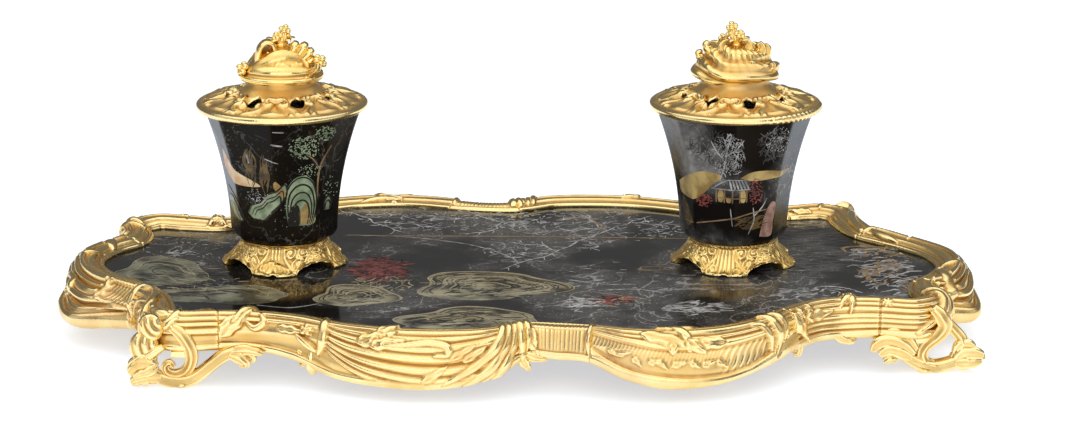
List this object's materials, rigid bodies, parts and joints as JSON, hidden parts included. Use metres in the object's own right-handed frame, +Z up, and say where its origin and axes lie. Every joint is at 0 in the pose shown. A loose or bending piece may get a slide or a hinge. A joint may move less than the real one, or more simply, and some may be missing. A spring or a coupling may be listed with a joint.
{
  "type": "inkstand",
  "caption": "Serpentine black lacquer tray in a gilt cast rim on scroll feet, with a lidded ink pot and a lidded sand pot under pierced collars, for a writing desk.",
  "frame": {"origin": "middle of the tray, on the table top", "axes": "+X to the right along the tray, +Y to the back, +Z up"},
  "size_m": [0.3974, 0.234, 0.1324],
  "materials": {
    "gilt": "gilded casting, burnished on the high parts",
    "lacquer": "black lacquer, glossy and worn",
    "oak": "bare wood",
    "steel": "plain",
    "glass": "clear"
  },
  "bodies": {
    "stand": {"lacquer_panel": "lacquer", "tray_board": "oak", "rim_front_centre": "gilt", "rim_front_right_belly": "gilt", "rim_front_right_corner": "gilt", "rim_right_end": "gilt", "rim_back_right_corner": "gilt", "rim_back_right_belly": "gilt", "rim_back_centre": "gilt", "rim_back_left_belly": "gilt", "rim_back_left_corner": "gilt", "rim_left_end": "gilt", "rim_front_left_corner": "gilt", "rim_front_left_belly": "gilt", "foot_front_left": "gilt", "foot_front_right": "gilt", "foot_back_left": "gilt", "foot_back_right": "gilt", "rim_screws": "steel", "foot_screws": "steel", "ink_base": "gilt", "ink_pot": "lacquer", "ink_bolt": "steel", "ink_washer": "steel", "ink_nut": "steel", "sand_base": "gilt", "sand_pot": "lacquer", "sand_bolt": "steel", "sand_washer": "steel", "sand_nut": "steel"},
    "ink_liner_body": {"ink_liner": "glass"},
    "ink_collar_body": {"ink_collar": "gilt"},
    "ink_cap_body": {"ink_cap": "gilt", "ink_finial": "gilt"},
    "sand_liner_body": {"sand_liner": "glass"},
    "sand_collar_body": {"sand_collar": "gilt", "sand_sifter": "gilt"},
    "sand_cap_body": {"sand_cap": "gilt", "sand_finial": "gilt"}
  },
  "joints": [
    {"name": "ink_liner_lift", "type": "slide", "parent": "stand", "child": "ink_liner_body", "axis": [0, 0, 1], "range_m": [0, 0.06]},
    {"name": "ink_collar_lift", "type": "slide", "parent": "ink_liner_body", "child": "ink_collar_body", "axis": [0, 0, 1], "range_m": [0, 0.04]},
    {"name": "ink_cap_lift", "type": "slide", "parent": "ink_collar_body", "child": "ink_cap_body", "axis": [0, 0, 1], "range_m": [0, 0.04]},
    {"name": "sand_liner_lift", "type": "slide", "parent": "stand", "child": "sand_liner_body", "axis": [0, 0, 1], "range_m": [0, 0.06]},
    {"name": "sand_collar_lift", "type": "slide", "parent": "sand_liner_body", "child": "sand_collar_body", "axis": [0, 0, 1], "range_m": [0, 0.04]},
    {"name": "sand_cap_lift", "type": "slide", "parent": "sand_collar_body", "child": "sand_cap_body", "axis": [0, 0, 1], "range_m": [0, 0.04]}
  ]
}
